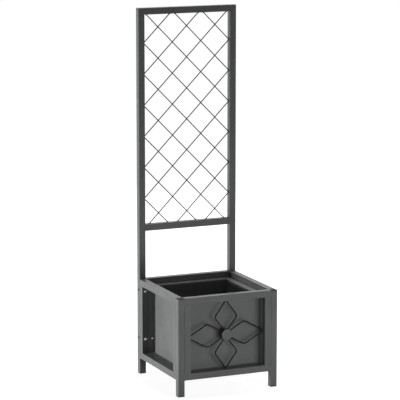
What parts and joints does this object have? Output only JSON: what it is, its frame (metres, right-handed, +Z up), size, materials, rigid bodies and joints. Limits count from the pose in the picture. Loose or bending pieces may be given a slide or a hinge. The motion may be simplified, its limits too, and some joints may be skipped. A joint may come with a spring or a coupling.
{
  "type": "planter with trellis",
  "caption": "Square metal planter on four legs with set-back sheet panels, a bent-rod rosette on the front and a tall wire trellis on its rear posts.",
  "frame": {"origin": "centre of the footprint on the ground, between the four feet", "axes": "+Z up along the posts, -Y towards the front with the rosette, +X to the right as seen from the front"},
  "size_m": [0.4066, 0.4, 1.4],
  "materials": {
    "tube_coat": "fine-textured satin powder coat, iron grey",
    "sheet_coat": "fine-textured satin powder coat, iron grey",
    "wire_coat": "satin powder coat, dark grey",
    "black_rod_coat": "satin black coat",
    "black_plastic": "matt moulded plastic",
    "zinc_steel": "zinc-plated, dull bright"
  },
  "bodies": {
    "root": {"bottom_petal": "black_rod_coat", "floor": "sheet_coat", "front_bottom_rail": "tube_coat", "front_left_bracket": "sheet_coat", "front_left_cap": "black_plastic", "front_left_foot": "black_plastic", "front_left_leg": "tube_coat", "front_left_stile": "tube_coat", "front_panel": "sheet_coat", "front_right_bracket": "sheet_coat", "front_right_cap": "black_plastic", "front_right_foot": "black_plastic", "front_right_leg": "tube_coat", "front_right_stile": "tube_coat", "front_top_rail": "tube_coat", "left_bearer": "tube_coat", "left_bottom_rail": "tube_coat", "left_frame_front_lower_bolt": "zinc_steel", "left_frame_front_upper_bolt": "zinc_steel", "left_frame_rear_lower_bolt": "zinc_steel", "left_frame_rear_upper_bolt": "zinc_steel", "left_front_stile": "tube_coat", "left_panel": "sheet_coat", "left_petal": "black_rod_coat", "left_rear_stile": "tube_coat", "left_top_rail": "tube_coat", "rear_bottom_rail": "tube_coat", "rear_frame_left_lower_bolt": "tube_coat", "rear_frame_left_upper_bolt": "tube_coat", "rear_frame_right_lower_bolt": "tube_coat", "rear_frame_right_upper_bolt": "tube_coat", "rear_left_bracket": "sheet_coat", "rear_left_foot": "black_plastic", "rear_left_post": "tube_coat", "rear_left_stile": "tube_coat", "rear_panel": "sheet_coat", "rear_right_bracket": "sheet_coat", "rear_right_foot": "black_plastic", "rear_right_post": "tube_coat", "rear_right_stile": "tube_coat", "rear_top_rail": "tube_coat", "right_bearer": "tube_coat", "right_bottom_rail": "tube_coat", "right_frame_front_lower_bolt": "zinc_steel", "right_frame_front_upper_bolt": "zinc_steel", "right_frame_rear_lower_bolt": "zinc_steel", "right_frame_rear_upper_bolt": "zinc_steel", "right_front_stile": "tube_coat", "right_panel": "sheet_coat", "right_petal": "black_rod_coat", "right_rear_stile": "tube_coat", "right_top_rail": "tube_coat", "rosette_boss": "tube_coat", "top_petal": "black_rod_coat", "trellis_bottom_rail": "tube_coat", "trellis_lattice": "wire_coat", "trellis_top_rail": "tube_coat"}
  },
  "joints": []
}
